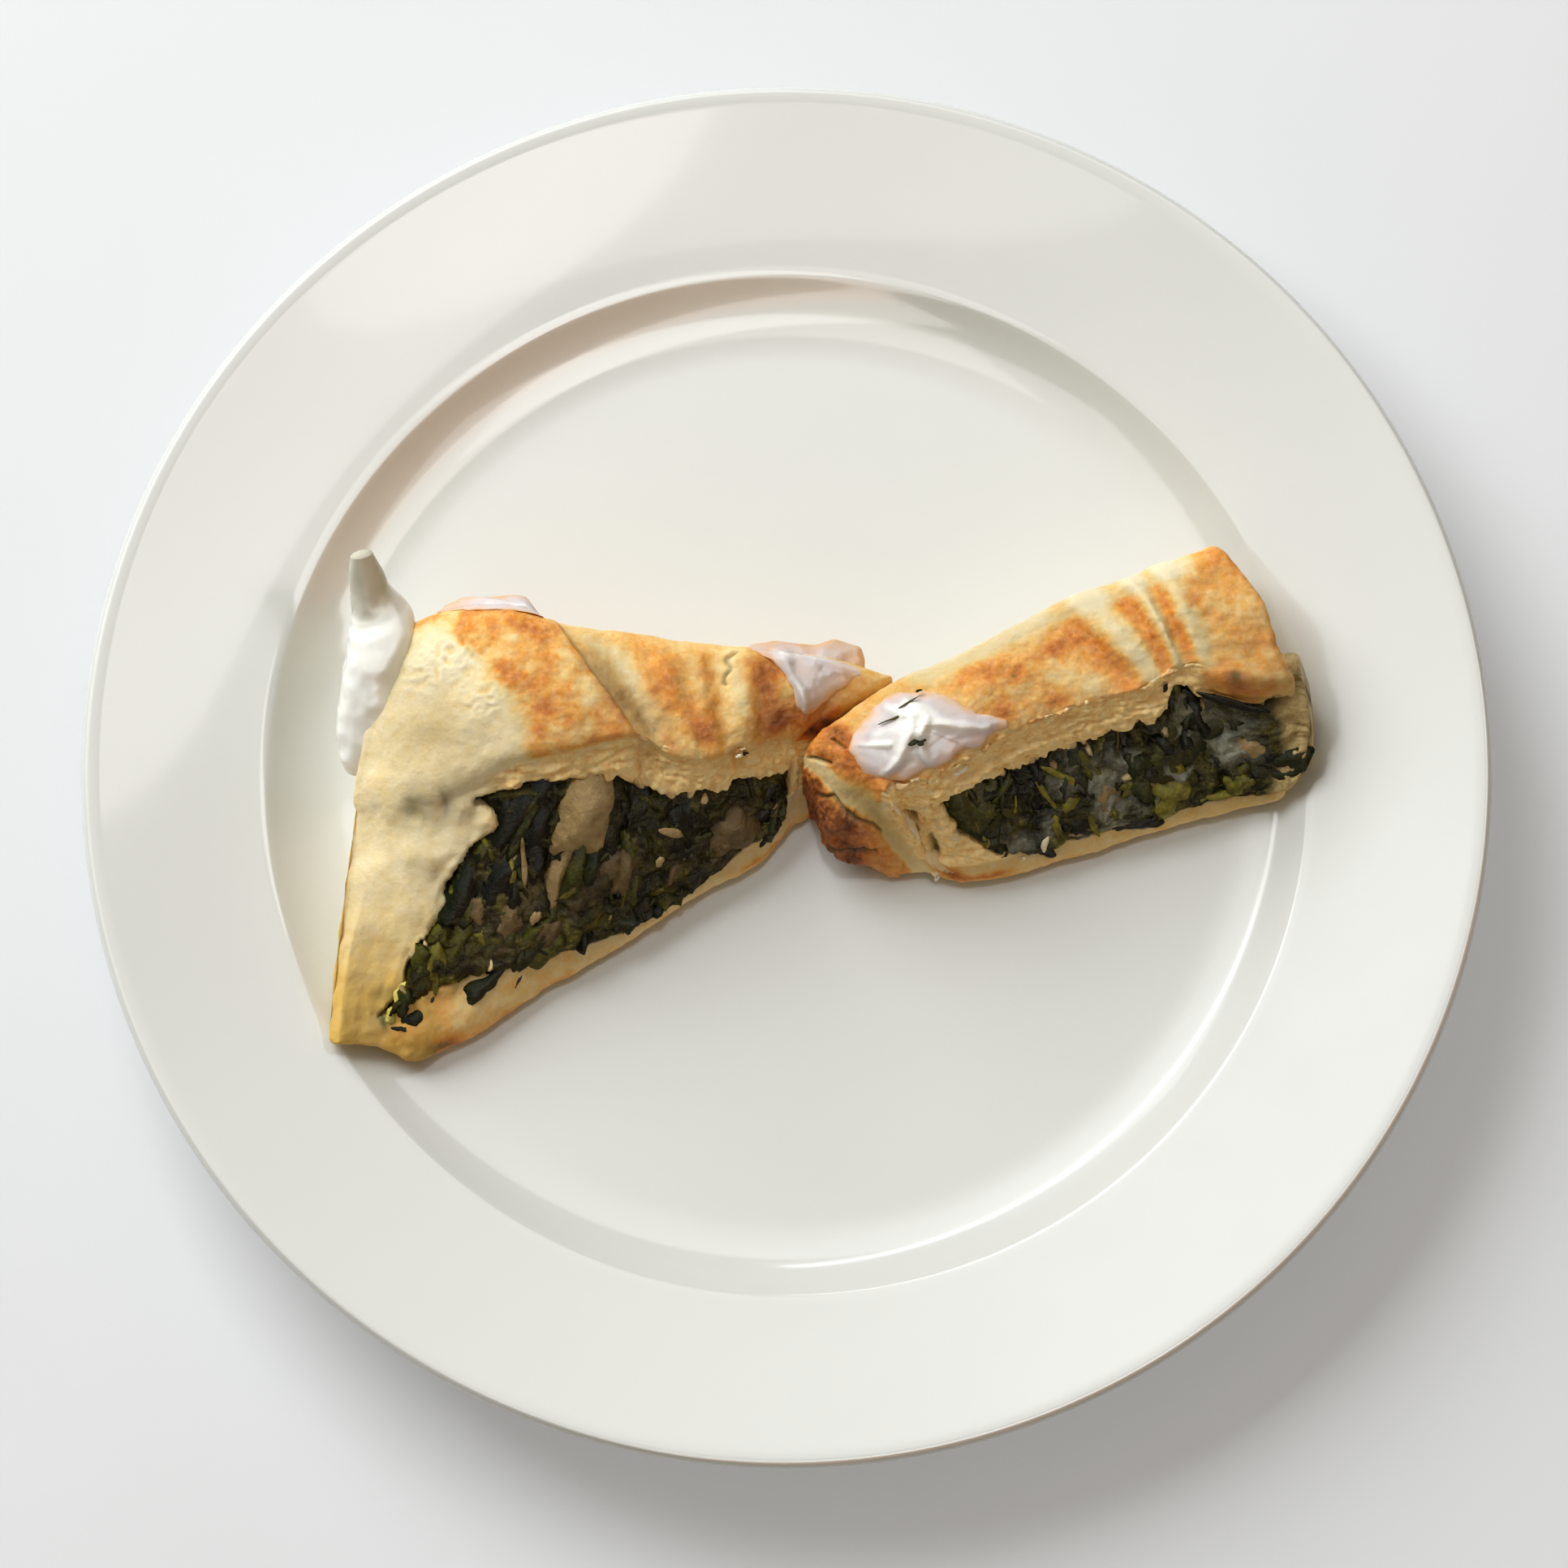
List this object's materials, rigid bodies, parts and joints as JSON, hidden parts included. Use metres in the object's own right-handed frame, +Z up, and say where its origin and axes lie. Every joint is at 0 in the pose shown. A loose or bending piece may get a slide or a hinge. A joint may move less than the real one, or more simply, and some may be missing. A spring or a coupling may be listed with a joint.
{
  "type": "spanakopita pie on a plate",
  "caption": "Spinach and feta pastry pie broken open in two pieces, with yoghurt sauce, served on a round white rim plate.",
  "frame": {"origin": "middle of the plate's foot, at the height of the surface it stands on", "axes": "+Z up; the open, filled sides of the pieces face -Y; +X to the right, from the triangular piece towards the bar-shaped one"},
  "size_m": [0.27, 0.27, 0.0463],
  "materials": {
    "porcelain": "clear gloss glaze",
    "pastry": "baked golden, flaky and slightly oily",
    "spinach_filling": "wet chopped leaves",
    "feta": "moist crumbly cheese",
    "yoghurt": "wet and creamy"
  },
  "bodies": {
    "root": {"plate": "porcelain", "left_pastry": "pastry", "left_filling": "spinach_filling", "left_feta_1": "feta", "left_feta_2": "feta", "left_feta_3": "feta", "right_pastry": "pastry", "right_filling": "spinach_filling", "sauce_right": "yoghurt", "sauce_left_tip": "yoghurt", "sauce_left_back": "yoghurt", "sauce_left_side": "yoghurt"}
  },
  "joints": []
}
